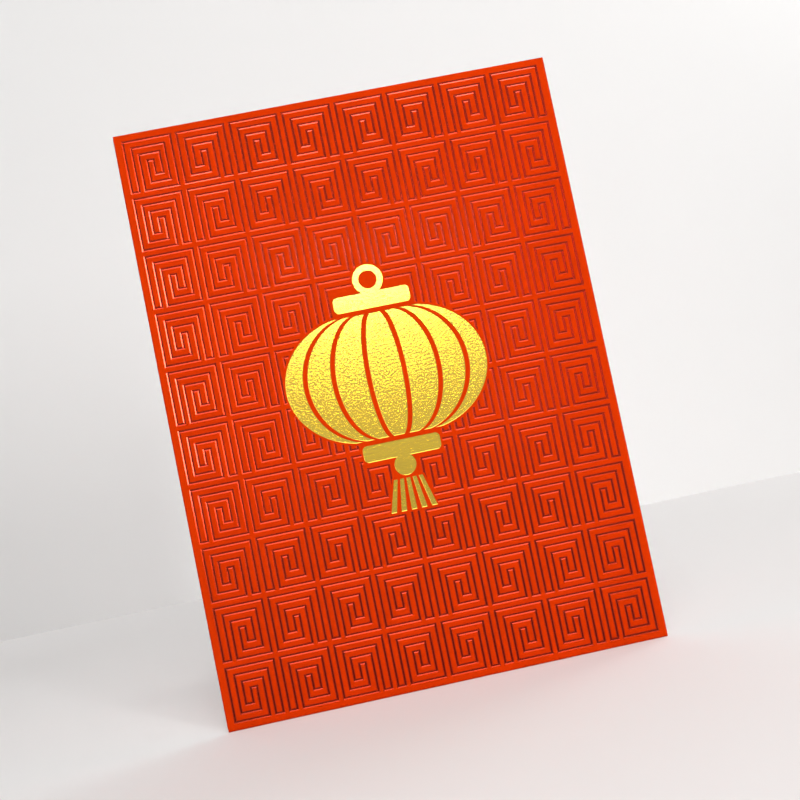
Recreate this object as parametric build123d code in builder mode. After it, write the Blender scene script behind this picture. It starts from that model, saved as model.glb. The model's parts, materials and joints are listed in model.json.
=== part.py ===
# A red gift envelope folded from one die-cut sheet: a front and a back panel joined by a side fold,
# a glued side seam, a glued bottom flap, and a top flap that swings on its crease.
# Frame: the front faces -Y, +X is right seen from the front, +Z is up.
# The origin is at the middle of the bottom edge, on the outer plane of the back.
import os

from build123d import *

# The packet
packet_width = 85.0  # over both side folds
packet_height = 115.0  # from the bottom fold to the top crease
paper_thickness = 0.25  # heavy coated paper
glue_thickness = 0.05  # dried line of glue in a lap
flap_clearance = 0.05  # closed top flap stands this far off the back panel
corner_relief = 0.4  # each flap starts this far in from the front panel's side edges

# The side seam
seam_fold_gap = 0.12  # clear space inside the left fold, between front panel and tab
tab_width = 12.0
tab_end_slope = 4.0  # the tab's ends slope in by this much
tab_end_relief = 0.6  # the tab is shorter than the front panel at each end
seam_setback = 0.7  # bare strip of tab between the left fold and the back panel's edge

# The flaps
bottom_flap_depth = 14.0
bottom_flap_slope = 7.0  # each side slopes in by this much towards the tip
bottom_flap_corner = 2.5
top_flap_depth = 23.0
top_flap_slope = 6.0
top_flap_corner = 5.0
throat_drop = 2.0  # the back panel's top edge stops this far under the crease
glue_margin = 1.5  # from a line of glue to the edges of its lap

# Red foil: rows of square spirals, each spiral stroke drawn as a foil outline
foil_thickness = 0.03
motif_columns = 8
motif_rows = 10
pattern_side_margin = 1.25  # from the front panel's side edges to the pattern
pattern_end_margin = 0.9  # from the front panel's top and bottom edges to the pattern
motif_gap_across = 0.95  # bare paper between two spirals in a row
motif_gap_down = 1.05  # bare paper between two rows
stroke_width = 1.1  # bare paper inside the outline
foil_line_width = 0.3  # the outline itself
least_foil_length = 0.8  # a cut-off bit of outline shorter than this is left out
# The spiral's path as shares of its width and height, from the outer end to the inner end
spiral_shares = [
    (0, 0),
    (0, 1),
    (1, 1),
    (1, 0),
    (1 / 3, 0),
    (1 / 3, 2 / 3),
    (2 / 3, 2 / 3),
    (2 / 3, 1 / 3),
]

# Gold foil: a lantern with a hanging loop, a cap, ribs, a base and a tassel
lantern_width = 39.0
lantern_body_height = 24.0
lantern_body_end = 11.0  # between the body's outer side lines, where their rounds would close
body_end_trim = 0.25  # the rounds are cut off square this far before they close
lantern_cap_width = 15.0
lantern_cap_height = 3.2
lantern_cap_corner = 0.9
foil_gap = 0.9  # bare paper between two gold shapes
loop_diameter = 6.0
loop_band = 1.3
knot_diameter = 4.2
knot_lap = 0.5  # the knot runs this far into the base
tassel_length = 6.6
tassel_top_width = 5.6
tassel_tip_width = 9.0
tassel_strands = 5
emblem_margin = 0.35  # bare paper between the gold and the cut red outlines
# Where the ribs part, as shares of the body's half width
rib_shares = [-1, -0.80, -0.52, -0.18, 0.18, 0.52, 0.80, 1]

quarter_turn = 90
half_turn = 180

# Depths, from the back's outer plane at zero towards the front
bottom_flap_inner = -paper_thickness
back_outer = bottom_flap_inner - glue_thickness
back_inner = back_outer - paper_thickness
tab_rear = back_inner - glue_thickness
tab_front = tab_rear - paper_thickness
front_inner = tab_front - seam_fold_gap
front_outer = front_inner - paper_thickness
top_flap_inner = back_outer + flap_clearance
top_flap_outer = top_flap_inner + paper_thickness

# Folds: each is a half-round strip from the front panel to the sheet behind it
left_radius = (tab_rear - front_outer) / 2
right_radius = (back_outer - front_outer) / 2
bottom_radius = -front_outer / 2
top_radius = (top_flap_outer - front_outer) / 2
crease_y = (top_flap_outer + front_outer) / 2
crease_z = packet_height - top_radius

# The flat part of the front panel
front_left = left_radius - packet_width / 2
front_right = packet_width / 2 - right_radius
front_width = front_right - front_left
front_height = crease_z - bottom_radius
front_mid_x = (front_left + front_right) / 2
front_mid_z = (crease_z + bottom_radius) / 2
flap_base = front_width - 2 * corner_relief


# A flat plane at a given depth; what is extruded from it grows towards the front
def sheet_plane(depth):
    return Plane.XZ.offset(-depth)


# Half of a round tube's section, one paper thick: the paper where it turns over
def fold_section(centre, radius, facing):
    with BuildLine() as section:
        rim = CenterArc(centre, radius, facing - quarter_turn, half_turn)
        bore = CenterArc(centre, radius - paper_thickness, facing - quarter_turn, half_turn)
        Line(rim @ 0, bore @ 0)
        Line(rim @ 1, bore @ 1)
    make_face(section.edges())


# A flap that narrows from its base to a tip with two rounded corners
def flap_outline(base_z, tip_z, slope, corner):
    left = front_mid_x - flap_base / 2
    right = front_mid_x + flap_base / 2
    with BuildLine() as outline:
        FilletPolyline(
            (left, base_z),
            (left + slope, tip_z),
            (right - slope, tip_z),
            (right, base_z),
            radius=corner,
        )
        Line((right, base_z), (left, base_z))
    make_face(outline.edges())


# The packet seen from above: the bottom fold and the top crease are rounded off at their ends to it
def rounded_plan():
    with Locations((front_mid_x, crease_y)):
        Rectangle(front_width, 2 * top_radius)
    with Locations((front_left, crease_y)):
        Ellipse(left_radius, top_radius)
    with Locations((front_right, crease_y)):
        Ellipse(right_radius, top_radius)


# The two panels
with BuildPart() as front_panel:
    with BuildSketch(sheet_plane(front_inner)):
        with Locations((front_mid_x, front_mid_z)):
            Rectangle(front_width, front_height)
    extrude(amount=paper_thickness)

back_left = front_left + seam_setback
back_height = front_height - throat_drop
with BuildPart() as back_panel:
    with BuildSketch(sheet_plane(back_outer)):
        with Locations((back_left, bottom_radius)):
            Rectangle(front_right - back_left, back_height, align=Align.MIN)
    extrude(amount=paper_thickness)

# The side folds and the tab behind the left one
with BuildPart() as right_fold:
    with BuildSketch(Plane.XY.offset(bottom_radius)):
        fold_section((front_right, back_outer - right_radius), right_radius, 0)
    extrude(amount=front_height)

with BuildPart() as left_fold:
    with BuildSketch(Plane.XY.offset(bottom_radius)):
        fold_section((front_left, tab_rear - left_radius), left_radius, half_turn)
    extrude(amount=front_height)

tab_low = bottom_radius + tab_end_relief
tab_high = tab_low + back_height - 2 * tab_end_relief
tab_edge = front_left + tab_width
with BuildPart() as seam_tab:
    with BuildSketch(sheet_plane(tab_rear)):
        with BuildLine():
            Polyline(
                (front_left, tab_low),
                (tab_edge, tab_low + tab_end_slope),
                (tab_edge, tab_high - tab_end_slope),
                (front_left, tab_high),
                close=True,
            )
        make_face()
    extrude(amount=paper_thickness)

# The line of glue between the tab and the back panel
with BuildPart() as seam_glue:
    with BuildSketch(sheet_plane(back_inner)):
        with Locations((back_left + glue_margin, tab_low + tab_end_slope + glue_margin)):
            Rectangle(
                tab_edge - back_left - 2 * glue_margin,
                tab_high - tab_low - 2 * (tab_end_slope + glue_margin),
                align=Align.MIN,
            )
    extrude(amount=glue_thickness)

# The bottom fold, the flap that it turns up over the back, and the glue under that flap
with BuildPart() as bottom_fold:
    with BuildSketch(Plane.YZ.offset(-packet_width / 2)):
        fold_section((-bottom_radius, bottom_radius), bottom_radius, -quarter_turn)
    extrude(amount=packet_width)
    with BuildSketch(Plane.XY):
        rounded_plan()
    extrude(amount=bottom_radius, mode=Mode.INTERSECT)

bottom_flap_tip = bottom_radius + bottom_flap_depth
with BuildPart() as bottom_flap:
    with BuildSketch(sheet_plane(0)):
        flap_outline(bottom_radius, bottom_flap_tip, bottom_flap_slope, bottom_flap_corner)
    extrude(amount=paper_thickness)

with BuildPart() as bottom_glue:
    with BuildSketch(sheet_plane(bottom_flap_inner)):
        with Locations((front_mid_x, bottom_radius + bottom_flap_depth / 2)):
            Rectangle(
                flap_base - 2 * (bottom_flap_slope + bottom_flap_corner + glue_margin),
                bottom_flap_depth - 2 * glue_margin,
            )
    extrude(amount=glue_thickness)

# The top crease and the flap that swings on it; the crease's centre line is the hinge
with BuildPart() as top_crease:
    with BuildSketch(Plane.YZ.offset(-packet_width / 2)):
        fold_section((crease_y, crease_z), top_radius, quarter_turn)
    extrude(amount=packet_width)
    with BuildSketch(Plane.XY.offset(crease_z)):
        rounded_plan()
    extrude(amount=top_radius, mode=Mode.INTERSECT)

with BuildPart() as top_flap:
    with BuildSketch(sheet_plane(top_flap_outer)):
        flap_outline(crease_z, crease_z - top_flap_depth, top_flap_slope, top_flap_corner)
    extrude(amount=paper_thickness)

# Gold lantern: heights from its middle, which is the middle of the front panel
body_top = lantern_body_height / 2
body_reach = body_top + body_end_trim
cap_middle = body_top + foil_gap + lantern_cap_height / 2
cap_end = cap_middle + lantern_cap_height / 2
loop_middle = cap_end + loop_diameter / 2 - loop_band / 2
knot_middle = knot_lap - cap_end - knot_diameter / 2
tassel_top = knot_middle - knot_diameter / 2
tassel_end = tassel_top - tassel_length
lantern_shift = -(loop_middle + loop_diameter / 2 + tassel_end) / 2


# A side line of the lantern's body: half an ellipse that bulges out from the end's width
def body_side(share, offset, reach):
    end = share * lantern_body_end / 2 + offset
    bulge = abs(share) * (lantern_width - lantern_body_end) / 2
    turn = half_turn if share > 0 else -half_turn
    return EllipticalCenterArc((end, 0), bulge, reach, -quarter_turn, arc_size=turn)


# The body between two side lines
def body_slice(left_share, right_share, left_offset, right_offset, reach):
    with BuildLine() as outline:
        left_side = body_side(left_share, left_offset, reach)
        right_side = body_side(right_share, right_offset, reach)
        Line(left_side @ 0, right_side @ 0)
        Line(left_side @ 1, right_side @ 1)
    make_face(outline.edges())


lantern_plane = sheet_plane(front_outer) * Pos(front_mid_x, front_mid_z + lantern_shift, 0)

with BuildPart() as gold_lantern:
    with BuildSketch(lantern_plane):
        # ribs of the body, parted by thin lines of bare paper
        for left_share, right_share in zip(rib_shares, rib_shares[1:]):
            left_offset = foil_gap / 2 if left_share > -1 else 0
            right_offset = -foil_gap / 2 if right_share < 1 else 0
            body_slice(left_share, right_share, left_offset, right_offset, body_reach)
        Rectangle(lantern_width, lantern_body_height, mode=Mode.INTERSECT)
        # cap and base
        with Locations((0, cap_middle), (0, -cap_middle)):
            RectangleRounded(lantern_cap_width, lantern_cap_height, lantern_cap_corner)
        # tassel strands, spreading towards their tips
        strand_top = (tassel_top_width - (tassel_strands - 1) * foil_gap / 2) / tassel_strands
        strand_tip = (tassel_tip_width - (tassel_strands - 1) * foil_gap) / tassel_strands
        for strand in range(tassel_strands):
            top_left = strand * (strand_top + foil_gap / 2) - tassel_top_width / 2
            tip_left = strand * (strand_tip + foil_gap) - tassel_tip_width / 2
            with BuildLine():
                Polyline(
                    (top_left, tassel_top - foil_gap / 2),
                    (tip_left, tassel_end),
                    (tip_left + strand_tip, tassel_end),
                    (top_left + strand_top, tassel_top - foil_gap / 2),
                    close=True,
                )
            make_face()
        # knot over the tassel, joined to the base
        with Locations((0, knot_middle)):
            Circle(knot_diameter / 2)
        # hanging loop, joined to the cap
        with Locations((0, loop_middle)):
            Circle(loop_diameter / 2)
            Circle(loop_diameter / 2 - loop_band, mode=Mode.SUBTRACT)
        with Locations((0, cap_end)):
            Rectangle(loop_band, loop_band)
    extrude(amount=foil_thickness)

# What the lantern covers, with its margin: no red foil is stamped there
with BuildSketch(Plane.XY) as lantern_cover:
    body_slice(-1, 1, -emblem_margin, emblem_margin, body_reach + emblem_margin)
    Rectangle(
        lantern_width + 2 * emblem_margin,
        lantern_body_height + 2 * emblem_margin,
        mode=Mode.INTERSECT,
    )
    with Locations((0, cap_middle), (0, -cap_middle)):
        Rectangle(lantern_cap_width + 2 * emblem_margin, lantern_cap_height + foil_gap + 2 * emblem_margin)
    with Locations((0, cap_end)):
        Rectangle(
            loop_diameter + 2 * emblem_margin,
            loop_middle + loop_diameter / 2 - cap_end + emblem_margin,
            align=(Align.CENTER, Align.MIN),
        )
    with Locations((0, -cap_end)):
        Rectangle(
            tassel_tip_width + 2 * emblem_margin,
            -cap_end - tassel_end + emblem_margin,
            align=(Align.CENTER, Align.MAX),
        )

# One spiral: the foil runs along both sides of the stroke and round its ends
pattern_width = front_width - 2 * pattern_side_margin
pattern_height = front_height - 2 * pattern_end_margin
motif_width = (pattern_width - (motif_columns - 1) * motif_gap_across) / motif_columns
motif_height = (pattern_height - (motif_rows - 1) * motif_gap_down) / motif_rows
stroke_over_foil = stroke_width + 2 * foil_line_width
path_width = motif_width - stroke_over_foil
path_height = motif_height - stroke_over_foil


def spiral_stroke(width, turned, mode):
    corners = [
        (turned * (share_x - 1 / 2) * path_width, (share_z - 1 / 2) * path_height)
        for share_x, share_z in spiral_shares
    ]
    for (start_x, start_z), (end_x, end_z) in zip(corners, corners[1:]):
        with Locations(((start_x + end_x) / 2, (start_z + end_z) / 2)):
            Rectangle(abs(end_x - start_x) + width, abs(end_z - start_z) + width, mode=mode)


spirals = {}
for turned in (1, -1):
    with BuildSketch(Plane.XY) as spiral:
        spiral_stroke(stroke_over_foil, turned, Mode.ADD)
        spiral_stroke(stroke_width, turned, Mode.SUBTRACT)
    spirals[turned] = spiral.sketch

# Rows from the top down; neighbours are mirror images of each other
first_x = front_mid_x - (pattern_width - motif_width) / 2
first_z = front_mid_z + (pattern_height - motif_height) / 2
foil_rows = []
for row in range(motif_rows):
    row_z = first_z - row * (motif_height + motif_gap_down)
    with BuildSketch(Plane.XY) as row_sketch:
        for column in range(motif_columns):
            with Locations((first_x + column * (motif_width + motif_gap_across), row_z)):
                add(spirals[1 if (row + column) % 2 == 0 else -1])
        with Locations((front_mid_x, front_mid_z + lantern_shift)):
            add(lantern_cover.sketch, mode=Mode.SUBTRACT)
    kept = [face for face in row_sketch.sketch.faces() if face.area > least_foil_length * foil_line_width]
    with BuildPart() as foil_row:
        with BuildSketch(sheet_plane(front_outer)):
            for face in kept:
                add(face)
        extrude(amount=foil_thickness)
    foil_rows.append(foil_row)

pieces = {
    "front_panel": front_panel,
    "back_panel": back_panel,
    "right_fold": right_fold,
    "left_fold": left_fold,
    "seam_tab": seam_tab,
    "seam_glue": seam_glue,
    "bottom_fold": bottom_fold,
    "bottom_flap": bottom_flap,
    "bottom_glue": bottom_glue,
    "top_crease": top_crease,
    "top_flap": top_flap,
    "gold_lantern": gold_lantern,
}
for row, foil_row in enumerate(foil_rows):
    pieces[f"red_foil_row_{row + 1:02d}"] = foil_row

os.makedirs("parts", exist_ok=True)
for label, piece in pieces.items():
    piece.part.label = label
    export_step(piece.part, f"parts/{label}.step")

print("pieces", len(pieces))
print("overall width", packet_width, "height", packet_height, "depth", foil_thickness - front_outer)
print("hinge line y", crease_y, "z", crease_z)
print("spiral", motif_width, "x", motif_height)
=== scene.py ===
import json
from math import pi, radians

import bmesh
import bpy
from mathutils import Matrix, Vector

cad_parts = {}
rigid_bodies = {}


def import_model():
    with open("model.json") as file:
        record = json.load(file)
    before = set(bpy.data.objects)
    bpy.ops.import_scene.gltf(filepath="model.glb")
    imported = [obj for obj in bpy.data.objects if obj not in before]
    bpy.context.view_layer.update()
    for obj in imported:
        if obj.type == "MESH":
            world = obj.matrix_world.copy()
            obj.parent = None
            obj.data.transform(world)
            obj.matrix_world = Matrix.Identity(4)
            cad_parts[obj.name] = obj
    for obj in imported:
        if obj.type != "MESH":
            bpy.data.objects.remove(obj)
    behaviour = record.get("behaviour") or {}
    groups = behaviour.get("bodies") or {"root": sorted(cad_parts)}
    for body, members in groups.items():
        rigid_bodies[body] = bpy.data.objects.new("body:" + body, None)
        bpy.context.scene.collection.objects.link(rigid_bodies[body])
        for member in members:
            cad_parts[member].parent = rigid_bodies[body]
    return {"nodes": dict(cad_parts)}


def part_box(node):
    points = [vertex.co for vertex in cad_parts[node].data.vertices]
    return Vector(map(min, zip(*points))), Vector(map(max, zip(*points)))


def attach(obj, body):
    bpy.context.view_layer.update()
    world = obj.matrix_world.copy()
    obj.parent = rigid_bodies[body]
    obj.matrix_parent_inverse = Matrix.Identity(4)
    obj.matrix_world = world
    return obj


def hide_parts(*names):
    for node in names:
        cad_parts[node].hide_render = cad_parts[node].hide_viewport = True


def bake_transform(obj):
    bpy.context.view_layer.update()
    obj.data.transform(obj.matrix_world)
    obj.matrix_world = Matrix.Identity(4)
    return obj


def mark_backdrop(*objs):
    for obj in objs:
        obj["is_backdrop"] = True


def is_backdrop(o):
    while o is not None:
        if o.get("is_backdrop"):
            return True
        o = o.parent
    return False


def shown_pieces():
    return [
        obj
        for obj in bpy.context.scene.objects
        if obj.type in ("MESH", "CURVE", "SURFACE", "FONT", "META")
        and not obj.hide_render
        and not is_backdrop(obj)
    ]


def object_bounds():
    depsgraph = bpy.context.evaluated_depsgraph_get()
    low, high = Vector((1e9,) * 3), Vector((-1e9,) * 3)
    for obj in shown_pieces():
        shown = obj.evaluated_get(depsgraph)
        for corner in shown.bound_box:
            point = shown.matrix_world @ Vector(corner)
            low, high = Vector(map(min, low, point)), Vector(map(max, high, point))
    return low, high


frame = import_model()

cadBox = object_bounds()  # the box that the imported parts fill
nodes = frame["nodes"]
mm = 0.001
nothing = 1e-6  # metres; closer than this counts as the same place
facing = 0.9  # share of the normal past which a face looks to the front or the back
flatEnough = radians(0.05)  # triangles that bend less than this become one face


# hands: picking pieces, faces and edges
def clearAll():
    if bpy.context.mode != "OBJECT":
        bpy.ops.object.mode_set(mode="OBJECT")
    bpy.ops.object.select_all(action="DESELECT")


def take(piece):
    clearAll()
    piece.select_set(True)
    bpy.context.view_layer.objects.active = piece


def openPiece(piece, kind="FACE"):  # edit mode, nothing picked
    take(piece)
    bpy.ops.object.mode_set(mode="EDIT")
    bpy.ops.mesh.select_mode(type=kind)
    bpy.ops.mesh.select_all(action="DESELECT")


def pickFaces(piece, wanted):  # by place and normal
    bpy.ops.mesh.select_mode(type="FACE")
    bpy.ops.mesh.select_all(action="DESELECT")
    mesh = bmesh.from_edit_mesh(piece.data)
    for face in mesh.faces:
        if wanted(face.calc_center_median(), face.normal):
            face.select_set(True)
    bmesh.update_edit_mesh(piece.data)


def pickEdges(piece, wanted):
    bpy.ops.mesh.select_mode(type="EDGE")
    bpy.ops.mesh.select_all(action="DESELECT")
    mesh = bmesh.from_edit_mesh(piece.data)
    for edge in mesh.edges:
        if wanted(edge):
            edge.select_set(True)
    bmesh.update_edit_mesh(piece.data)


def pickPoints(piece, wanted):
    bpy.ops.mesh.select_mode(type="VERT")
    bpy.ops.mesh.select_all(action="DESELECT")
    mesh = bmesh.from_edit_mesh(piece.data)
    for point in mesh.verts:
        if wanted(point.co):
            point.select_set(True)
    mesh.select_flush_mode()
    bmesh.update_edit_mesh(piece.data)


def push(x, y, z):
    bpy.ops.transform.translate(value=(x, y, z))


def pull(x, y, z):  # extrude what is picked
    bpy.ops.mesh.extrude_region_move(TRANSFORM_OT_translate={"value": (x, y, z)})


def facesOut(piece):  # for closed shapes
    openPiece(piece)
    bpy.ops.mesh.select_all(action="SELECT")
    bpy.ops.mesh.remove_doubles(threshold=nothing)
    bpy.ops.mesh.normals_make_consistent(inside=False)
    clearAll()


def addPlate(name, low, high):  # a plane of this size and place
    clearAll()
    middle = (Vector(low) + Vector(high)) / 2
    size = Vector(high) - Vector(low)
    turn, scale = (0, 0, 0), (size.x, size.y, 1)
    if size.y < nothing:  # upright, facing the front
        turn, scale = (pi / 2, 0, 0), (size.x, size.z, 1)
    if size.x < nothing:  # upright, facing the side
        turn, scale = (0, pi / 2, 0), (size.z, size.y, 1)
    bpy.ops.mesh.primitive_plane_add(size=1, location=middle, rotation=turn)
    piece = bpy.context.object
    piece.name = piece.data.name = name
    piece.scale = scale
    bpy.ops.object.transform_apply(location=True, rotation=True, scale=True)
    return piece


def addBlock(name, low, high):
    clearAll()
    middle = (Vector(low) + Vector(high)) / 2
    bpy.ops.mesh.primitive_cube_add(size=1, location=middle)
    piece = bpy.context.object
    piece.name = piece.data.name = name
    piece.scale = Vector(high) - Vector(low)
    bpy.ops.object.transform_apply(location=True, rotation=True, scale=True)
    return piece


def copyPiece(piece, name, x=0, z=0):  # own mesh, moved, place in the mesh
    take(piece)
    bpy.ops.object.duplicate(linked=False)
    made = bpy.context.object
    made.name = made.data.name = name
    made.location = (x, 0, z)
    bpy.ops.object.transform_apply(location=True, rotation=True, scale=True)
    return made


def mirrorPiece(piece, name, middleX):  # left and right swapped about a line
    made = copyPiece(piece, name)
    made.scale = (-1, 1, 1)
    made.location = (2 * middleX, 0, 0)
    bpy.ops.object.transform_apply(location=True, rotation=True, scale=True)
    openPiece(made)
    bpy.ops.mesh.select_all(action="SELECT")
    bpy.ops.mesh.flip_normals()
    clearAll()
    return made


def joinPieces(pieces, name):
    clearAll()
    for piece in pieces:
        piece.select_set(True)
    bpy.context.view_layer.objects.active = pieces[0]
    bpy.ops.object.join()
    made = bpy.context.object
    made.name = made.data.name = name
    return made


def applyModifier(piece, kind, **settings):
    take(piece)
    modifier = piece.modifiers.new(kind.lower(), kind)
    for setting, value in settings.items():
        setattr(modifier, setting, value)
    bpy.ops.object.modifier_apply(modifier=modifier.name)


def repeat(piece, count, x, z):  # a row of copies, joined where they meet
    applyModifier(piece, "ARRAY", count=count, use_relative_offset=False,
                  use_constant_offset=True, constant_offset_displace=(x, 0, z),
                  use_merge_vertices=True, merge_threshold=nothing)


def throwAway(*pieces):
    for piece in pieces:
        bpy.data.objects.remove(piece, do_unlink=True)


def softShade(piece, degrees):
    take(piece)
    bpy.ops.object.shade_smooth_by_angle(angle=radians(degrees))


def copyNode(node, name):  # a node's triangles, welded into plain faces
    piece = bpy.data.objects.new(name, nodes[node].data.copy())
    bpy.context.scene.collection.objects.link(piece)
    piece.data.materials.clear()
    take(piece)
    bpy.ops.mesh.customdata_custom_splitnormals_clear()
    openPiece(piece)
    bpy.ops.mesh.select_all(action="SELECT")
    bpy.ops.mesh.remove_doubles(threshold=nothing)
    bpy.ops.mesh.mark_sharp(clear=True)
    bpy.ops.mesh.dissolve_limited(angle_limit=flatEnough)
    clearAll()
    return piece


# camera: low and a little left of the middle, turned in its mount
cameraSet = {
    "place": (-9.14 * mm, -191.7 * mm, 45.33 * mm),
    "right": (0.9784, -0.0443, -0.2020),
    "back": (-0.0550, -0.9973, -0.0477),
    "lens": 45,
    "sensor": 36,
    "near": 5 * mm,  # nothing closer is drawn
}
back = Vector(cameraSet["back"]).normalized()
up = back.cross(Vector(cameraSet["right"])).normalized()
right = up.cross(back)
cameraData = bpy.data.cameras.new("camera")
cameraData.lens = cameraSet["lens"]
cameraData.sensor_width = cameraSet["sensor"]
cameraData.clip_start = cameraSet["near"]
camera = bpy.data.objects.new("camera", cameraData)
cameraTurn = Matrix((right, up, back)).transposed().to_4x4()
camera.matrix_world = Matrix.Translation(cameraSet["place"]) @ cameraTurn
bpy.context.scene.collection.objects.link(camera)
bpy.context.scene.camera = camera
print("camera set")

# front: one stamped spiral is modelled, then repeated over the sheet
frontLow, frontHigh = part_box("front_panel")
rowLow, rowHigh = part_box("red_foil_row_01")
stampedFront = {
    "columns": 8,
    "rows": 10,
    "gapAcross": 0.95 * mm,
    "gapDown": 1.05 * mm,
    "stroke": 1.10 * mm,  # paper inside the outline
    "line": 0.30 * mm,  # the foil outline
    "path": [  # corners of the spiral, in shares of its width and height
        (0, 0), (0, 1), (1, 1), (1, 0),
        (1 / 3, 0), (1 / 3, 2 / 3), (2 / 3, 2 / 3), (2 / 3, 1 / 3),
    ],
    "shoulder": 0.10 * mm,  # slope of the pressed line outside the printed edge
    "shoulderDrop": 0.041 * mm,
    "wall": 0.08 * mm,  # and inside it
    "wallDrop": 0.033 * mm,
    "core": 0.062 * mm,  # steep sides of the narrow core
    "coreDrop": 0.09 * mm,
    "foil": 0.012 * mm,
    "foilShade": 15,  # degrees; sharper bends keep a hard edge
    "sheetShade": 62,
}
faceY = frontLow.y
gapAcross = stampedFront["gapAcross"]
motifWide = (rowHigh.x - rowLow.x + gapAcross) / stampedFront["columns"] - gapAcross
motifHigh = rowHigh.z - rowLow.z
pitchX = motifWide + gapAcross
pitchZ = motifHigh + stampedFront["gapDown"]
firstX = rowLow.x + motifWide / 2
firstZ = (rowLow.z + rowHigh.z) / 2
innerHalf = stampedFront["stroke"] / 2
outerHalf = innerHalf + stampedFront["line"]
pathWide = motifWide - 2 * outerHalf
pathHigh = motifHigh - 2 * outerHalf
corners = [
    (firstX + (x - 0.5) * pathWide, firstZ + (z - 0.5) * pathHigh)
    for x, z in stampedFront["path"]
]


def onStroke(spot, half):  # is this spot within half a stroke of the path
    for (x0, z0), (x1, z1) in zip(corners, corners[1:]):
        across = min(x0, x1) - half < spot.x < max(x0, x1) + half
        upright = min(z0, z1) - half < spot.z < max(z0, z1) + half
        if across and upright:
            return True
    return False


def onLine(spot, normal):
    return onStroke(spot, outerHalf) and not onStroke(spot, innerHalf)


tile = addPlate("tile", (firstX - pitchX / 2, faceY, firstZ - pitchZ / 2),
                (firstX + pitchX / 2, faceY, firstZ + pitchZ / 2))
openPiece(tile)
for side in (-outerHalf, -innerHalf, innerHalf, outerHalf):
    for x in sorted({round(c[0], 9) for c in corners}):  # equal ones count once
        bpy.ops.mesh.select_all(action="SELECT")
        bpy.ops.mesh.bisect(plane_co=(x + side, 0, 0), plane_no=(1, 0, 0))
    for z in sorted({round(c[1], 9) for c in corners}):
        bpy.ops.mesh.select_all(action="SELECT")
        bpy.ops.mesh.bisect(plane_co=(0, 0, z + side), plane_no=(0, 0, 1))
pickFaces(tile, onLine)
bpy.ops.mesh.inset(thickness=stampedFront["shoulder"], use_outset=True)
pickFaces(tile, onLine)
push(0, stampedFront["shoulderDrop"], 0)
bpy.ops.mesh.inset(thickness=stampedFront["wall"])
push(0, stampedFront["wallDrop"], 0)
bpy.ops.mesh.inset(thickness=stampedFront["core"])
push(0, stampedFront["coreDrop"], 0)
for ring in ("core", "wall", "shoulder"):
    bpy.ops.mesh.select_more()
bpy.ops.mesh.duplicate()
bpy.ops.mesh.separate(type="SELECTED")
clearAll()
foilTile = [o for o in bpy.context.scene.objects if o.name.startswith("tile.")][0]
foilTile.name = foilTile.data.name = "foilTile"
openPiece(foilTile)
bpy.ops.mesh.select_all(action="SELECT")
push(0, -stampedFront["foil"], 0)
clearAll()
applyModifier(foilTile, "SOLIDIFY", thickness=stampedFront["foil"], offset=-1)
print("tile faces", len(tile.data.polygons), "foil tile faces", len(foilTile.data.polygons))

mirrorTile = mirrorPiece(tile, "mirrorTile", firstX)
mirrorFoil = mirrorPiece(foilTile, "mirrorFoil", firstX)

# the sheet: two by two tiles, then rows and columns of them
frontSheet = joinPieces([
    copyPiece(tile, "a"),
    copyPiece(mirrorTile, "b", pitchX),
    copyPiece(mirrorTile, "c", 0, -pitchZ),
    copyPiece(tile, "d", pitchX, -pitchZ),
], "front_sheet")
repeat(frontSheet, stampedFront["columns"] // 2, 2 * pitchX, 0)
repeat(frontSheet, stampedFront["rows"] // 2, 0, -2 * pitchZ)
openPiece(frontSheet, "EDGE")
bpy.ops.mesh.select_all(action="SELECT")
bpy.ops.mesh.remove_doubles(threshold=nothing)


def edgeAt(axis, place):  # edges lying on one border
    return lambda edge: all(abs(p.co[axis] - place) < 5 * nothing for p in edge.verts)


gridLow = Vector((firstX - pitchX / 2, 0, firstZ - (stampedFront["rows"] - 0.5) * pitchZ))
gridHigh = Vector((firstX + (stampedFront["columns"] - 0.5) * pitchX, 0, firstZ + pitchZ / 2))
pickEdges(frontSheet, edgeAt(0, gridLow.x))
pull(frontLow.x - gridLow.x, 0, 0)
pickEdges(frontSheet, edgeAt(0, gridHigh.x))
pull(frontHigh.x - gridHigh.x, 0, 0)
pickEdges(frontSheet, edgeAt(2, gridLow.z))
pull(0, 0, frontLow.z - gridLow.z)
pickEdges(frontSheet, edgeAt(2, gridHigh.z))
pull(0, 0, frontHigh.z - gridHigh.z)
pickEdges(frontSheet, lambda edge: len(edge.link_faces) == 1)
pull(0, frontHigh.y - faceY, 0)
bpy.ops.mesh.edge_face_add()
facesOut(frontSheet)
print("front sheet faces", len(frontSheet.data.polygons))

# ten rows of foil
foilRows = []
for row in range(stampedFront["rows"]):
    pair = (foilTile, mirrorFoil) if row % 2 == 0 else (mirrorFoil, foilTile)
    foilRow = joinPieces([
        copyPiece(pair[0], "a", 0, -row * pitchZ),
        copyPiece(pair[1], "b", pitchX, -row * pitchZ),
    ], f"red_foil_{row + 1:02d}")
    repeat(foilRow, stampedFront["columns"] // 2, 2 * pitchX, 0)
    facesOut(foilRow)
    foilRows.append(foilRow)
throwAway(tile, mirrorTile, foilTile, mirrorFoil)
print("foil rows", len(foilRows), "faces each", len(foilRows[0].data.polygons))

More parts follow.
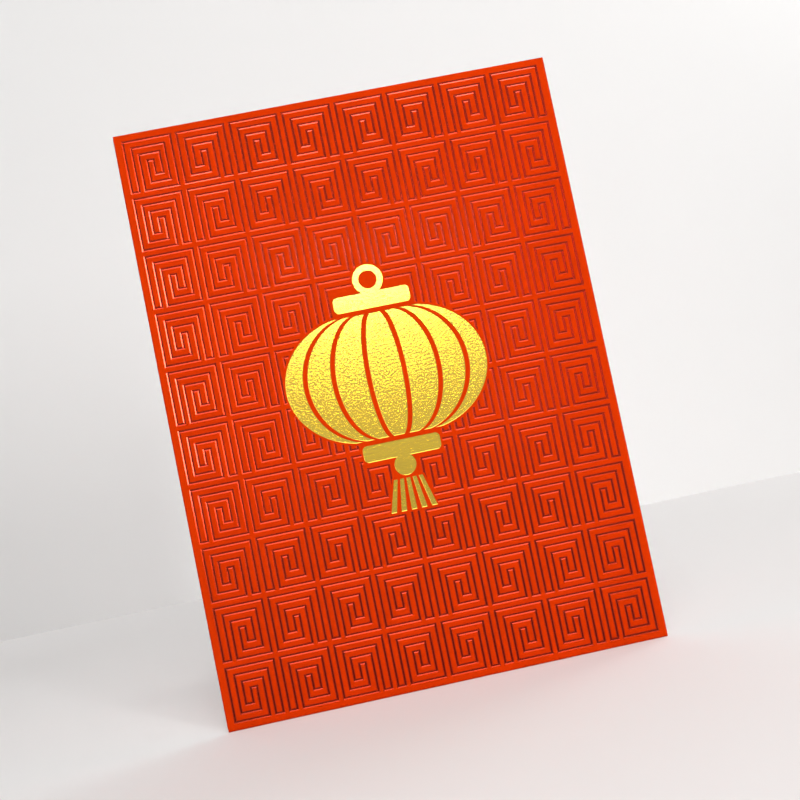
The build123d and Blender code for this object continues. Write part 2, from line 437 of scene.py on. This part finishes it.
# plain island that the lantern is stamped on
lanternLow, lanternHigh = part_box("gold_lantern")
island = {
    "margin": 0.35 * mm,  # bare paper between the gold and the pattern
    "bodyHigh": 24.0 * mm,
    "bodyEnd": 11.0 * mm,  # between the side rounds where they would close
    "endTrim": 0.25 * mm,  # cut off the rounds at top and bottom
    "capWide": 15.0 * mm,
    "capHigh": 3.2 * mm,
    "gap": 0.9 * mm,  # between the body and its caps
    "loopWide": 6.0 * mm,
    "loopRise": 5.35 * mm,  # from the cap's end to the loop's top
    "knotWide": 4.2 * mm,
    "knotDrop": 3.9 * mm,  # from the base's end to the strands
    "tasselTop": 5.6 * mm,  # width where the strands start
    "tasselWide": 9.0 * mm,
    "tasselDrop": 10.3 * mm,  # from the base's end to the tassel's tip
    "cutProud": 0.05 * mm,  # in front of the sheet while it cuts the foil
    "proud": 0.004 * mm,  # in front of the sheet when it is done
    "deep": 0.18 * mm,  # into the sheet
    "steps": 128,
}
lanternX = (lanternLow.x + lanternHigh.x) / 2
capEnd = island["bodyHigh"] / 2 + island["gap"] + island["capHigh"]
lanternZ = lanternHigh.z - capEnd - island["loopRise"]
bulge = (lanternHigh.x - lanternLow.x - island["bodyEnd"]) / 2
islandFront = faceY - island["cutProud"]
islandBack = faceY + island["deep"]


def islandRound(z, halfWide, halfHigh):  # an upright filled round
    clearAll()
    bpy.ops.mesh.primitive_circle_add(
        vertices=island["steps"], radius=1, fill_type="NGON",
        location=(lanternX, islandFront, lanternZ + z), rotation=(pi / 2, pi / island["steps"], 0))
    piece = bpy.context.object
    piece.scale = (halfWide, halfHigh, 1)
    bpy.ops.object.transform_apply(location=True, rotation=True, scale=True)
    return piece


bodyHalf = island["bodyHigh"] / 2 + island["margin"]
islandPiece = islandRound(0, bulge, bodyHalf + island["endTrim"])
openPiece(islandPiece, "VERT")
spread = island["bodyEnd"] / 2 + island["margin"]
pickPoints(islandPiece, lambda p: p.x > lanternX)  # the round is pulled apart at its middle
push(spread, 0, 0)
pickPoints(islandPiece, lambda p: p.x < lanternX)
push(-spread, 0, 0)
for end in (bodyHalf, -bodyHalf):  # the rounds are cut off square
    bpy.ops.mesh.select_all(action="SELECT")
    bpy.ops.mesh.bisect(plane_co=(0, 0, lanternZ + end), plane_no=(0, 0, end), clear_outer=True)
bpy.ops.mesh.select_all(action="SELECT")
pull(0, islandBack - islandFront, 0)
facesOut(islandPiece)


def islandBlock(half, low, high):
    return addBlock("block", (lanternX - half, islandFront, lanternZ + low),
                    (lanternX + half, islandBack, lanternZ + high))


capHalf = island["capWide"] / 2 + island["margin"]
capNear = island["bodyHigh"] / 2 + island["gap"] / 2 - island["margin"]
capFar = capEnd + island["gap"] / 2 + island["margin"]
loopHalf = island["loopWide"] / 2 + island["margin"]
knotHalf = island["knotWide"] / 2 + island["margin"]
tasselHalf = island["tasselWide"] / 2 + island["margin"]
loopPart = islandRound(capEnd + island["loopRise"] - island["loopWide"] / 2, loopHalf, loopHalf)
openPiece(loopPart)
bpy.ops.mesh.select_all(action="SELECT")
pull(0, islandBack - islandFront, 0)
facesOut(loopPart)
tasselEnd = -capEnd - island["tasselDrop"] - island["margin"]
tasselPart = islandBlock(tasselHalf, tasselEnd, -capEnd - island["knotDrop"])
tasselMiddle = lanternZ - capEnd - (island["tasselDrop"] + island["knotDrop"]) / 2
openPiece(tasselPart, "VERT")
for side in (1, -1):  # narrower where the strands start
    pickPoints(tasselPart, lambda p: p.z > tasselMiddle and side * (p.x - lanternX) > 0)
    push(-side * (island["tasselWide"] - island["tasselTop"]) / 2, 0, 0)
clearAll()
for part in (
    islandBlock(capHalf, capNear, capFar),
    islandBlock(capHalf, -capFar, -capNear),
    islandBlock(knotHalf, -capEnd - island["knotDrop"] - island["margin"], -capEnd),
    loopPart,
    tasselPart,
):
    applyModifier(islandPiece, "BOOLEAN", object=part, operation="UNION", solver="EXACT")
    throwAway(part)
for foilRow in foilRows:
    applyModifier(foilRow, "BOOLEAN", object=islandPiece, operation="DIFFERENCE", solver="EXACT")
openPiece(islandPiece)
pickFaces(islandPiece, lambda spot, normal: normal.y < -facing)
push(0, island["cutProud"] - island["proud"], 0)
islandFace = faceY - island["proud"]
applyModifier(frontSheet, "BOOLEAN", object=islandPiece, operation="UNION", solver="EXACT")
throwAway(islandPiece)
print("front sheet with island", len(frontSheet.data.polygons))
for foilRow in foilRows:
    softShade(foilRow, stampedFront["foilShade"])

# gold lantern: pressed into the sheet, its rim sloping down to a flat floor
goldRelief = {
    "rim": 0.10 * mm,  # width of the slope
    "deep": 0.045 * mm,  # from the rim's top to the floor
    "foil": 0.03 * mm,
    "proud": 0.006 * mm,  # the rim's top stands in front of the island
    "bed": 0.02 * mm,  # clear space behind the foil
    "shade": 15,  # degrees
}
goldLantern = copyNode("gold_lantern", "gold_lantern_foil")
openPiece(goldLantern)
bpy.ops.mesh.select_all(action="SELECT")
bpy.ops.mesh.bisect(plane_co=(lanternX, 0, 0), plane_no=(1, 0, 0))  # the ring parts in two
bed = copyPiece(goldLantern, "bed")  # what the die takes out of the paper
openPiece(bed)
pickFaces(bed, lambda spot, normal: normal.y > facing)
push(0, goldRelief["deep"] + goldRelief["foil"] + goldRelief["bed"], 0)
facesOut(bed)
applyModifier(frontSheet, "BOOLEAN", object=bed, operation="DIFFERENCE", solver="EXACT")
throwAway(bed)
openPiece(goldLantern)
pickFaces(goldLantern, lambda spot, normal: normal.y > facing)
push(0, goldRelief["deep"] + goldRelief["foil"], 0)
pickFaces(goldLantern, lambda spot, normal: normal.y < -facing)
push(0, islandFace - goldRelief["proud"] - lanternLow.y, 0)
bpy.ops.mesh.inset(thickness=goldRelief["rim"])
push(0, goldRelief["deep"], 0)
facesOut(goldLantern)
softShade(goldLantern, goldRelief["shade"])
softShade(frontSheet, stampedFront["sheetShade"])
print("gold faces", len(goldLantern.data.polygons))
print("front sheet with its bed", len(frontSheet.data.polygons))

# folds: the paper's edge spun half a turn
paperSheet = {
    "thick": 0.25 * mm,
    "foldSteps": 16,
    "cornerSteps": 12,  # round a flap's corner
    "edge": 0.03 * mm,  # softened by the cutting die
    "edgeSteps": 2,
    "sharp": 1,  # radians; edges that bend more are softened
    "shade": 40,  # degrees
}


def spinFold(name, low, high, centre, axis, angle):
    piece = addPlate(name, low, high)
    openPiece(piece)
    bpy.ops.mesh.select_all(action="SELECT")
    bpy.ops.mesh.spin(steps=paperSheet["foldSteps"], angle=angle, center=centre, axis=axis)
    facesOut(piece)
    softShade(piece, paperSheet["shade"])
    return piece


thick = paperSheet["thick"]
innerY = faceY + thick
leftLow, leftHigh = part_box("left_fold")
leftFold = spinFold(
    "left_side_fold", (leftHigh.x, faceY, frontLow.z), (leftHigh.x, innerY, frontHigh.z),
    (leftHigh.x, (leftLow.y + leftHigh.y) / 2, 0), (0, 0, 1), pi)
rightLow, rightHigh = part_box("right_fold")
rightFold = spinFold(
    "right_side_fold", (rightLow.x, faceY, frontLow.z), (rightLow.x, innerY, frontHigh.z),
    (rightLow.x, (rightLow.y + rightHigh.y) / 2, 0), (0, 0, 1), -pi)
bottomLow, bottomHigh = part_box("bottom_fold")
bottomFold = spinFold(
    "bottom_edge_fold", (bottomLow.x, faceY, bottomHigh.z), (bottomHigh.x, innerY, bottomHigh.z),
    (0, (bottomLow.y + bottomHigh.y) / 2, bottomHigh.z), (1, 0, 0), -pi)
creaseLow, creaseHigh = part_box("top_crease")
topCrease = spinFold(
    "top_edge_crease", (creaseLow.x, faceY, creaseLow.z), (creaseHigh.x, innerY, creaseLow.z),
    (0, (creaseLow.y + creaseHigh.y) / 2, creaseLow.z), (1, 0, 0), pi)

# the ends of both folds are rounded as the sides are: one plan, cut across each
foldY = (creaseLow.y + creaseHigh.y) / 2
leftHalf = frontLow.x - leftLow.x
rightHalf = rightHigh.x - frontHigh.x
clearAll()
endSteps = 4 * paperSheet["foldSteps"]
bpy.ops.mesh.primitive_circle_add(
    vertices=endSteps, radius=1, fill_type="NGON",
    location=(0, foldY, cadBox[0].z - thick), rotation=(0, 0, pi / endSteps))
endPlan = bpy.context.object
endPlan.scale = (leftHalf, creaseHigh.y - foldY, 1)
bpy.ops.object.transform_apply(location=True, rotation=True, scale=True)
openPiece(endPlan, "VERT")
pickPoints(endPlan, lambda p: p.x < 0)
push(frontLow.x, 0, 0)
pickPoints(endPlan, lambda p: p.x > 0)
bpy.ops.transform.resize(value=(rightHalf / leftHalf, 1, 1), center_override=(0, foldY, 0))
push(frontHigh.x, 0, 0)
bpy.ops.mesh.select_all(action="SELECT")
pull(0, 0, cadBox[1].z - cadBox[0].z + 2 * thick)
facesOut(endPlan)
for fold in (bottomFold, topCrease):
    applyModifier(fold, "BOOLEAN", object=endPlan, operation="INTERSECT", solver="EXACT")
    facesOut(fold)
    softShade(fold, paperSheet["shade"])
    print(fold.name, len(fold.data.polygons))
throwAway(endPlan)


# flaps: a plate narrowed at its tip, corners rounded, pulled to the paper's thickness
def cutFlap(name, node, tipAtTop, slope, cornerRun, standOff):
    low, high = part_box(node)
    piece = addPlate(name, (low.x, high.y, low.z), (high.x, high.y, high.z))
    tipZ, baseZ = (high.z, low.z) if tipAtTop else (low.z, high.z)
    middleX = (low.x + high.x) / 2
    openPiece(piece, "VERT")
    pickPoints(piece, lambda p: abs(p.z - baseZ) < nothing)
    push(0, 0, standOff if tipAtTop else -standOff)
    pickPoints(piece, lambda p: p.x < middleX and abs(p.z - tipZ) < nothing)
    push(slope, 0, 0)
    pickPoints(piece, lambda p: p.x > middleX and abs(p.z - tipZ) < nothing)
    push(-slope, 0, 0)
    pickPoints(piece, lambda p: abs(p.z - tipZ) < nothing)
    bpy.ops.mesh.bevel(affect="VERTICES", offset=cornerRun, segments=paperSheet["cornerSteps"])
    bpy.ops.mesh.select_all(action="SELECT")
    pull(0, low.y - high.y, 0)
    facesOut(piece)
    return piece


bottomFlapSet = {
    "tipAtTop": True,
    "slope": 7.0 * mm,  # each side comes in by this much
    "cornerRun": 1.55 * mm,  # where the corner's round starts on each edge
    "standOff": 0,
}
topFlapSet = {
    "tipAtTop": False,
    "slope": 6.0 * mm,
    "cornerRun": 3.87 * mm,
    "standOff": 0.02 * mm,  # the open flap clears the front's top edge
}
bottomFlap = cutFlap("bottom_flap_sheet", "bottom_flap", **bottomFlapSet)
topFlap = cutFlap("top_flap_sheet", "top_flap", **topFlapSet)
backPanel = copyNode("back_panel", "back_sheet")
for piece in (bottomFlap, topFlap, backPanel):
    openPiece(piece)
    pickEdges(piece, lambda edge: edge.calc_face_angle(0) > paperSheet["sharp"])
    bpy.ops.mesh.bevel(offset=paperSheet["edge"], segments=paperSheet["edgeSteps"],
                       clamp_overlap=False)
    softShade(piece, paperSheet["shade"])
print("folds and flaps made")


# materials
def linear(text):  # sRGB hex to linear
    parts = [int(text[i:i + 2], 16) / 255 for i in (0, 2, 4)]
    return [p / 12.92 if p < 0.04045 else ((p + 0.055) / 1.055) ** 2.4 for p in parts] + [1]


def addNode(tree, kind, links=None, **settings):
    node = tree.nodes.new(kind)
    for setting, value in settings.items():
        setattr(node, setting, value)
    for socket, source in (links or {}).items():
        if isinstance(source, bpy.types.NodeSocket):
            tree.links.new(source, node.inputs[socket])
        else:
            node.inputs[socket].default_value = source
    return node


def newMaterial(name):
    material = bpy.data.materials.new(name)
    material.use_nodes = True
    material.node_tree.nodes.clear()
    return material, material.node_tree


def finishMaterial(tree, shader):
    addNode(tree, "ShaderNodeOutputMaterial", {"Surface": shader.outputs["BSDF"]})


def perMetre(size):  # a pattern of this many millimetres
    return 1 / (size * mm)


mixA, mixB, mixed = 6, 7, 2  # sockets of a Mix node that is set to colour

# dyed paper: matt, even orange red, a fine felt of fibres
paperLook = {
    "deep": "C43002",
    "light": "D83703",
    "cloud": 7,  # mm, slow drift between the two
    "fibre": 0.6,  # mm, drawn coarser than single fibres, which are too fine to show
    "fibreShade": "E4E4E4",
    "tooth": 0.03 * mm,  # height of the felt
}
dyedPaper, tree = newMaterial("dyedPaper")
place = addNode(tree, "ShaderNodeTexCoord").outputs["Object"]
fibre = addNode(tree, "ShaderNodeTexNoise", {
    "Vector": place, "Scale": perMetre(paperLook["fibre"]), "Detail": 3, "Roughness": 0.6})
cloud = addNode(tree, "ShaderNodeTexNoise", {
    "Vector": place, "Scale": perMetre(paperLook["cloud"]), "Detail": 3})
tone = addNode(tree, "ShaderNodeMix", {
    "Factor": cloud.outputs["Fac"],
    mixA: linear(paperLook["deep"]),
    mixB: linear(paperLook["light"]),
}, data_type="RGBA")
fleck = addNode(tree, "ShaderNodeMix", {
    "Factor": fibre.outputs["Fac"],
    mixA: linear(paperLook["fibreShade"]),
    mixB: linear("FFFFFF"),
}, data_type="RGBA")
dye = addNode(tree, "ShaderNodeMix", {
    "Factor": 1, mixA: tone.outputs[mixed], mixB: fleck.outputs[mixed],
}, data_type="RGBA", blend_type="MULTIPLY")
grain = addNode(tree, "ShaderNodeBump", {
    "Height": fibre.outputs["Fac"], "Strength": 0.7, "Distance": paperLook["tooth"]})
finishMaterial(tree, addNode(tree, "ShaderNodeBsdfPrincipled", {
    "Base Color": dye.outputs[mixed],
    "Roughness": 0.75,
    "Specular IOR Level": 0.008,  # hardly any sheen, so the red stays deep
    "Normal": grain.outputs["Normal"],
}))

# red hot-stamping foil: tinted lacquer over aluminium, dark with bright edges, slightly speckled
redFoilLook = {
    "tint": "962304",
    "speckle": 0.35,  # mm, drawn coarser than the film's own so that it shows
    "depth": 0.02 * mm,
}
redFoil, tree = newMaterial("redStampingFoil")
place = addNode(tree, "ShaderNodeTexCoord").outputs["Object"]
speckle = addNode(tree, "ShaderNodeTexNoise", {
    "Vector": place, "Scale": perMetre(redFoilLook["speckle"]), "Detail": 2})
dent = addNode(tree, "ShaderNodeBump", {
    "Height": speckle.outputs["Fac"], "Strength": 0.3, "Distance": redFoilLook["depth"]})
finishMaterial(tree, addNode(tree, "ShaderNodeBsdfPrincipled", {
    "Base Color": linear(redFoilLook["tint"]),
    "Metallic": 1,
    "Roughness": 0.2,
    "Coat Weight": 0.32,
    "Coat Roughness": 0.12,
    "Normal": dent.outputs["Normal"],
}))

# gold hot-stamping foil: bright, pale where it mirrors the lamps, grainy from the paper's tooth
goldFoilLook = {
    "tint": "AE910C",
    "tooth": 0.38,  # mm, the paper's tooth under the film
    "squeeze": (0.7, 1, 1),  # the grain is longer across
    "depth": 0.038 * mm,
}
goldFoil, tree = newMaterial("goldStampingFoil")
place = addNode(tree, "ShaderNodeTexCoord").outputs["Object"]
stretch = addNode(tree, "ShaderNodeMapping", {"Vector": place, "Scale": goldFoilLook["squeeze"]})
tooth = addNode(tree, "ShaderNodeTexNoise", {
    "Vector": stretch.outputs["Vector"], "Scale": perMetre(goldFoilLook["tooth"]), "Detail": 2})
dent = addNode(tree, "ShaderNodeBump", {
    "Height": tooth.outputs["Fac"], "Strength": 1, "Distance": goldFoilLook["depth"]})
finishMaterial(tree, addNode(tree, "ShaderNodeBsdfPrincipled", {
    "Base Color": linear(goldFoilLook["tint"]),
    "Metallic": 1,
    "Roughness": 0.22,
    "Coat Weight": 1,
    "Coat Roughness": 0.22,
    "Normal": dent.outputs["Normal"],
}))

# dried paste: thin, milky, slightly glossy
pasteLook = {
    "thin": "D9A58C",  # the red shows through
    "full": "E8D5C4",
    "streak": 1.5,  # mm
}
driedGlue, tree = newMaterial("driedPaste")
place = addNode(tree, "ShaderNodeTexCoord").outputs["Object"]
streak = addNode(tree, "ShaderNodeTexNoise", {
    "Vector": place, "Scale": perMetre(pasteLook["streak"]), "Detail": 2})
tone = addNode(tree, "ShaderNodeMix", {
    "Factor": streak.outputs["Fac"],
    mixA: linear(pasteLook["thin"]),
    mixB: linear(pasteLook["full"]),
}, data_type="RGBA")
finishMaterial(tree, addNode(tree, "ShaderNodeBsdfPrincipled", {
    "Base Color": tone.outputs[mixed],
    "Roughness": 0.35,
}))

papers = [frontSheet, leftFold, rightFold, bottomFold, topCrease,
          bottomFlap, topFlap, backPanel, nodes["seam_tab"]]
for pieces, material in ((papers, dyedPaper), (foilRows, redFoil), ([goldLantern], goldFoil),
                         ([nodes["seam_glue"], nodes["bottom_glue"]], driedGlue)):
    for piece in pieces:
        piece.data.materials.clear()
        piece.data.materials.append(material)
print("materials given")

# riding on the frame
for piece, node in ((frontSheet, "front_panel"), (leftFold, "left_fold"),
                    (rightFold, "right_fold"), (bottomFold, "bottom_fold"),
                    (bottomFlap, "bottom_flap"), (backPanel, "back_panel")):
    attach(piece, "packet")
    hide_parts(node)
for row, foilRow in enumerate(foilRows):
    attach(foilRow, "packet")
    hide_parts(f"red_foil_row_{row + 1:02d}")
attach(goldLantern, "packet")
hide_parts("gold_lantern")
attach(topFlap, "flap")
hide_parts("top_flap")
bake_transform(topCrease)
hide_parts("top_crease")
print("pieces ride on their bodies")

# studio: pale floor and wall, soft boxes
studio = {  # metres
    "wallY": 0.24,
    "floorFront": -1.5,
    "half": 1.6,
    "wallHigh": 1.6,
    "under": 0.02 * mm,  # the floor is this far below the part
    "glow": 0.12,  # share of plain colour close to the part, where its shadow falls
    "air": 0.06,  # the room's own light
    "airShade": "FBFAF9",
}
half, floorZ, wallY = studio["half"], -studio["under"], studio["wallY"]
floor = addPlate("studio_floor", (-half, studio["floorFront"], floorZ), (half, wallY, floorZ))
wall = addPlate("studio_wall", (-half, wallY, floorZ), (half, wallY, studio["wallHigh"]))
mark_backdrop(floor, wall)


def seenRays(tree):  # 1 for what the camera sees, also in a mirror or through glass
    path = addNode(tree, "ShaderNodeLightPath")
    seen = addNode(tree, "ShaderNodeMath", {
        0: path.outputs["Is Camera Ray"], 1: path.outputs["Is Glossy Ray"]}, operation="MAXIMUM")
    seen = addNode(tree, "ShaderNodeMath", {
        0: seen.outputs[0], 1: path.outputs["Is Transmission Ray"]}, operation="MAXIMUM")
    return seen.outputs[0]


# matt paint: pale and soft, its plain colour alone further away
paints = {
    "studioFloorPaint": {
        "piece": floor, "near": "EFEDEC", "far": "F6F3F2", "fadeFrom": 0.2, "fadeTo": 0.5},
    "studioWallPaint": {
        "piece": wall, "near": "F6F5F4", "far": "FBFAF9", "fadeFrom": 0.3, "fadeTo": 0.8},
}
for name, paint in paints.items():
    material, tree = newMaterial(name)
    place = addNode(tree, "ShaderNodeTexCoord").outputs["Object"]
    away = addNode(tree, "ShaderNodeVectorMath", {0: place}, operation="LENGTH")
    fade = addNode(tree, "ShaderNodeMapRange", {
        "Value": away.outputs["Value"], "From Min": paint["fadeFrom"], "From Max": paint["fadeTo"],
        "To Min": studio["glow"], "To Max": 1})
    share = addNode(tree, "ShaderNodeMath", {
        0: seenRays(tree), 1: fade.outputs["Result"]}, operation="MULTIPLY")
    matt = addNode(tree, "ShaderNodeBsdfDiffuse", {"Color": linear(paint["near"])})
    glow = addNode(tree, "ShaderNodeEmission", {"Color": linear(paint["far"])})
    blend = addNode(tree, "ShaderNodeMixShader", {
        0: share.outputs[0], 1: matt.outputs["BSDF"], 2: glow.outputs["Emission"]})
    addNode(tree, "ShaderNodeOutputMaterial", {"Surface": blend.outputs["Shader"]})
    paint["piece"].data.materials.append(material)

lamps = {  # metres, watts and degrees; a spread under 180 keeps light off the floor
    "topBox": {
        "place": (0.01, -0.43, 0.49), "aim": (0, 0, 0.06),
        "wide": 0.32, "high": 0.38, "power": 1.68, "spread": 180},
    "skyStrip": {
        "place": (0.03, -0.27, 0.65), "aim": (0, 0, 0.10),
        "wide": 0.32, "high": 0.04, "power": 0.7, "spread": 180},
    "glintCard": {  # the bright top of the gold
        "place": (0.024, -0.50, 0.187), "aim": (0, 0, 0.08),
        "wide": 0.16, "high": 0.03, "power": 0.142, "spread": 90},
    "sideStrip": {
        "place": (0.32, -0.55, 0.16), "aim": (0, 0, 0.06),
        "wide": 0.08, "high": 0.26, "power": 0.44, "spread": 90},
    "rightBox": {
        "place": (0.45, -0.40, 0.13), "aim": (0, 0, 0.06),
        "wide": 0.20, "high": 0.18, "power": 0.19, "spread": 180},
    "backBox": {
        "place": (0.28, 0.20, 0.30), "aim": (0, 0, 0.06),
        "wide": 0.20, "high": 0.20, "power": 0.42, "spread": 180},
}
for name, lamp in lamps.items():
    lampData = bpy.data.lights.new(name, "AREA")
    lampData.shape = "RECTANGLE"
    lampData.size = lamp["wide"]
    lampData.size_y = lamp["high"]
    lampData.energy = lamp["power"]
    lampData.spread = radians(lamp["spread"])
    lampPiece = bpy.data.objects.new(name, lampData)
    lampPiece.location = lamp["place"]
    aim = Vector(lamp["aim"]) - Vector(lamp["place"])
    lampPiece.rotation_euler = aim.to_track_quat("-Z", "Y").to_euler()
    bpy.context.scene.collection.objects.link(lampPiece)

world = bpy.data.worlds.new("studioAir")
world.use_nodes = True
bpy.context.scene.world = world
tree = world.node_tree
tree.nodes.clear()
level = addNode(tree, "ShaderNodeMapRange", {
    "Value": seenRays(tree), "To Min": studio["air"], "To Max": 1.0})
air = addNode(tree, "ShaderNodeBackground", {
    "Color": linear(studio["airShade"]), "Strength": level.outputs["Result"]})
addNode(tree, "ShaderNodeOutputWorld", {"Surface": air.outputs["Background"]})
bpy.context.scene.view_settings.view_transform = "Standard"
print("studio lit")

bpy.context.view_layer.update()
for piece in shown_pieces():
    piece.data.calc_loop_triangles()
